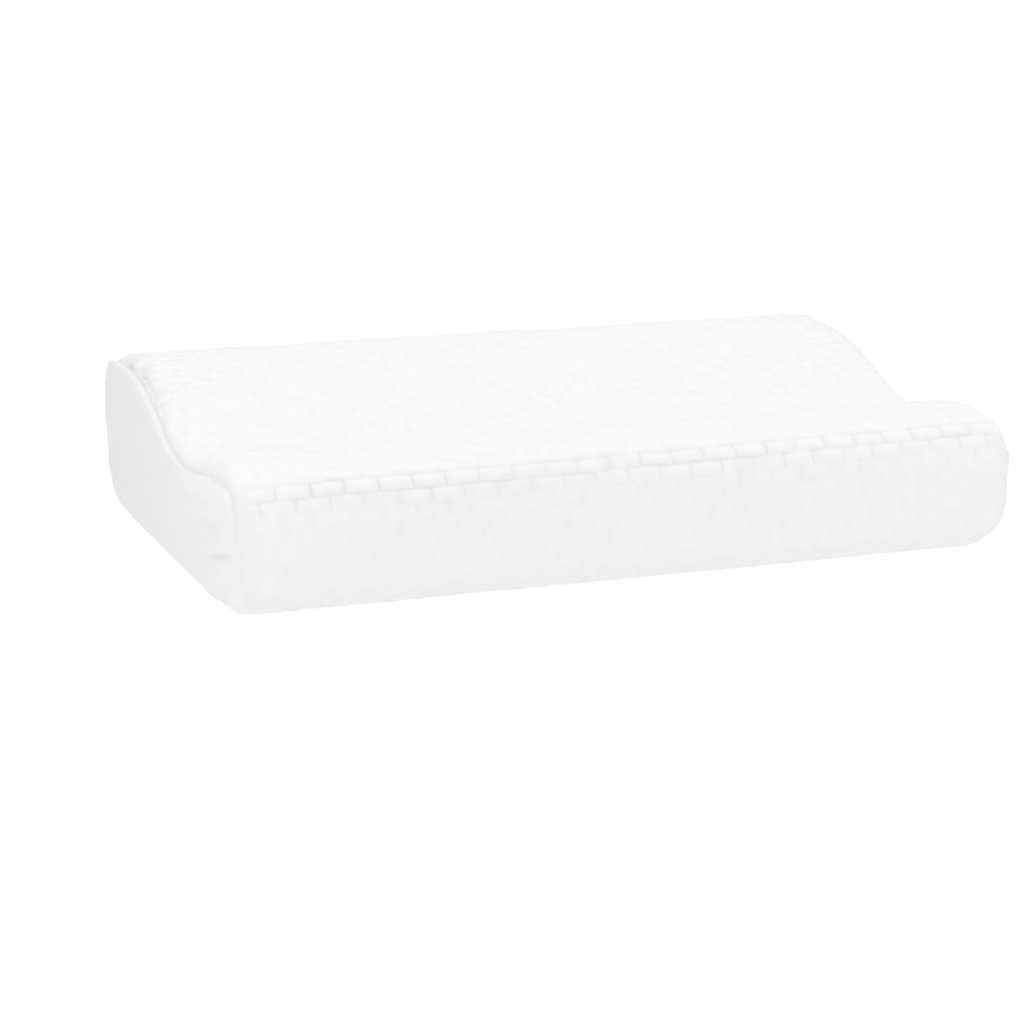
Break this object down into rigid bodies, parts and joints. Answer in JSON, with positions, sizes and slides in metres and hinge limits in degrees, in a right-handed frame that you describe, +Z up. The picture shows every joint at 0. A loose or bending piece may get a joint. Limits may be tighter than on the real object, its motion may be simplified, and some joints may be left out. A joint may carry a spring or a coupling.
{
  "type": "contour pillow",
  "caption": "White contour pillow with a high back roll, a shallow valley and a low front roll, in a quilted wrap with a plain sewn panel at each end; made to lie flat on a bed.",
  "frame": {"origin": "middle of the pillow's length and depth, on the flat underside it rests on", "axes": "+X along the length towards the right end, +Y from the low front roll to the high back roll, +Z up"},
  "size_m": [0.5, 0.3, 0.105],
  "materials": {
    "quilted_wrap": "matt quilted knit",
    "plain_panel": "matt plain knit"
  },
  "bodies": {
    "root": {"pillow_body": "quilted_wrap", "end_panel_left": "plain_panel", "end_panel_right": "plain_panel"}
  },
  "joints": []
}
